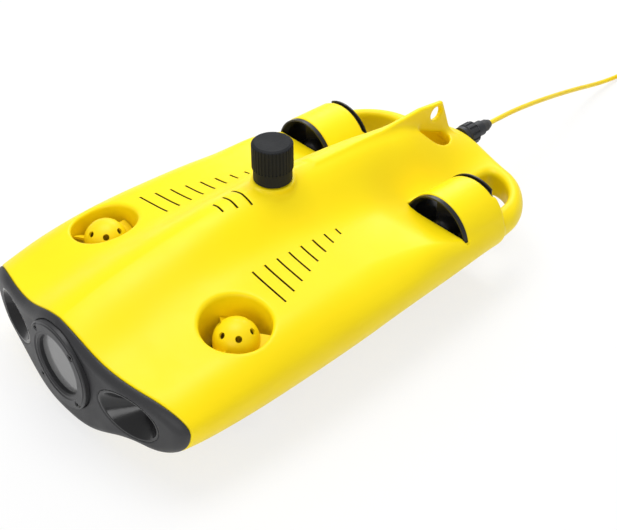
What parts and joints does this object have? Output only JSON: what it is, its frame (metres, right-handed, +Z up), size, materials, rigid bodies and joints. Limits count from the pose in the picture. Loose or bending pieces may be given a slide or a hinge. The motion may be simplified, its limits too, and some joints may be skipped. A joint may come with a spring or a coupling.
{
  "type": "underwater inspection vehicle",
  "caption": "Small yellow underwater inspection vehicle with dark camera nose, two lamps, upright and rear thrusters, stern fin, knurled port cap and tether.",
  "frame": {"origin": "on the ground under the middle of the vehicle, without its tether", "axes": "+Z up, nose towards -Y, tail and tether towards +Y, +X to the vehicle's left hand side seen from above with the nose down the page"},
  "size_m": [0.226, 0.7047, 0.1382],
  "materials": {
    "shell_yellow": "satin",
    "nose_black": "matte",
    "bezel_black": "satin",
    "window_glass": "clear",
    "seal_rubber": "matte",
    "lamp_reflector": "gloss",
    "lamp_lens": "clear",
    "lamp_module": "matte",
    "camera_black": "matte",
    "tube_metal": "anodised",
    "board_green": "satin",
    "battery_wrap": "satin",
    "tray_black": "matte",
    "cap_black": "satin",
    "mount_black": "satin",
    "winding_copper": "enamelled",
    "bell_steel": "satin",
    "propeller_yellow": "satin",
    "propeller_black": "satin",
    "nozzle_black": "satin",
    "screw_steel": "satin",
    "skid_rubber": "matte",
    "weight_iron": "painted",
    "plate_steel": "satin",
    "connector_black": "satin",
    "tether_yellow": "satin"
  },
  "bodies": {
    "hull": {"accessory_plate": "plate_steel", "ballast_weights": "weight_iron", "battery_pack": "battery_wrap", "bezel_screws": "screw_steel", "cable_gland": "lamp_module", "camera_bezel": "bezel_black", "camera_module": "camera_black", "camera_window": "window_glass", "card_port": "tube_metal", "electronics_tray": "tray_black", "end_cap_seals": "seal_rubber", "front_end_cap": "tube_metal", "front_left_motor_mount": "mount_black", "front_left_motor_stator": "winding_copper", "front_right_motor_mount": "mount_black", "front_right_motor_stator": "winding_copper", "led_lens_left": "lamp_lens", "led_lens_right": "lamp_lens", "led_module_left": "lamp_module", "led_module_right": "lamp_module", "led_reflector_left": "lamp_reflector", "led_reflector_right": "lamp_reflector", "lower_shell": "shell_yellow", "main_board": "board_green", "nose_panel": "nose_black", "pressure_hull": "tube_metal", "rear_end_cap": "tube_metal", "rear_left_motor_stator": "winding_copper", "rear_left_nozzle": "nozzle_black", "rear_right_motor_stator": "winding_copper", "rear_right_nozzle": "nozzle_black", "shell_screws": "screw_steel", "skids": "skid_rubber", "tail_motor_mount": "mount_black", "tail_motor_stator": "winding_copper", "tether": "tether_yellow", "tether_boot": "seal_rubber", "tether_coil": "tether_yellow", "tether_end_plug": "connector_black", "tether_plug": "connector_black", "tether_socket": "connector_black", "upper_shell": "shell_yellow", "window_seal": "seal_rubber"},
    "front_left_rotor": {"front_left_propeller": "propeller_yellow", "front_left_motor_rotor_bell": "bell_steel"},
    "front_right_rotor": {"front_right_propeller": "propeller_yellow", "front_right_motor_rotor_bell": "bell_steel"},
    "tail_rotor": {"tail_propeller": "propeller_yellow", "tail_motor_rotor_bell": "bell_steel"},
    "rear_left_rotor": {"rear_left_propeller": "propeller_black", "rear_left_motor_rotor_bell": "bell_steel"},
    "rear_right_rotor": {"rear_right_propeller": "propeller_black", "rear_right_motor_rotor_bell": "bell_steel"},
    "cap_thread": {"cap_seal": "seal_rubber"},
    "port_cap": {"screw_cap": "cap_black"},
    "plug_nut": {"coupling_nut": "connector_black"}
  },
  "joints": [
    {"name": "front_left_spin", "type": "hinge", "parent": "hull", "child": "front_left_rotor", "pos_m": [-0.0722, -0.1015, 0.05], "axis": [0, 0, 1], "continuous": true},
    {"name": "front_right_spin", "type": "hinge", "parent": "hull", "child": "front_right_rotor", "pos_m": [0.0722, -0.1015, 0.05], "axis": [0, 0, 1], "continuous": true},
    {"name": "tail_spin", "type": "hinge", "parent": "hull", "child": "tail_rotor", "pos_m": [0, 0.1495, 0.045], "axis": [0, 0, 1], "continuous": true},
    {"name": "rear_left_spin", "type": "hinge", "parent": "hull", "child": "rear_left_rotor", "pos_m": [-0.0704, 0.1, 0.0539], "axis": [0, 1, 0], "continuous": true},
    {"name": "rear_right_spin", "type": "hinge", "parent": "hull", "child": "rear_right_rotor", "pos_m": [0.0704, 0.1, 0.0539], "axis": [0, 1, 0], "continuous": true},
    {"name": "cap_lift", "type": "slide", "parent": "hull", "child": "cap_thread", "axis": [0, 0, 1], "range_m": [0, 0.006]},
    {"name": "cap_turn", "type": "hinge", "parent": "cap_thread", "child": "port_cap", "pos_m": [0, -0.0075, 0.12], "axis": [0, 0, 1], "range_deg": [0, 1080]},
    {"name": "nut_turn", "type": "hinge", "parent": "hull", "child": "plug_nut", "pos_m": [0, 0.198, 0.0589], "axis": [0, 1, 0], "range_deg": [0, 90]}
  ],
  "couplings": [
    {"joint": "cap_lift", "follows": "cap_turn", "m_per_rad": 0.0003183}
  ]
}
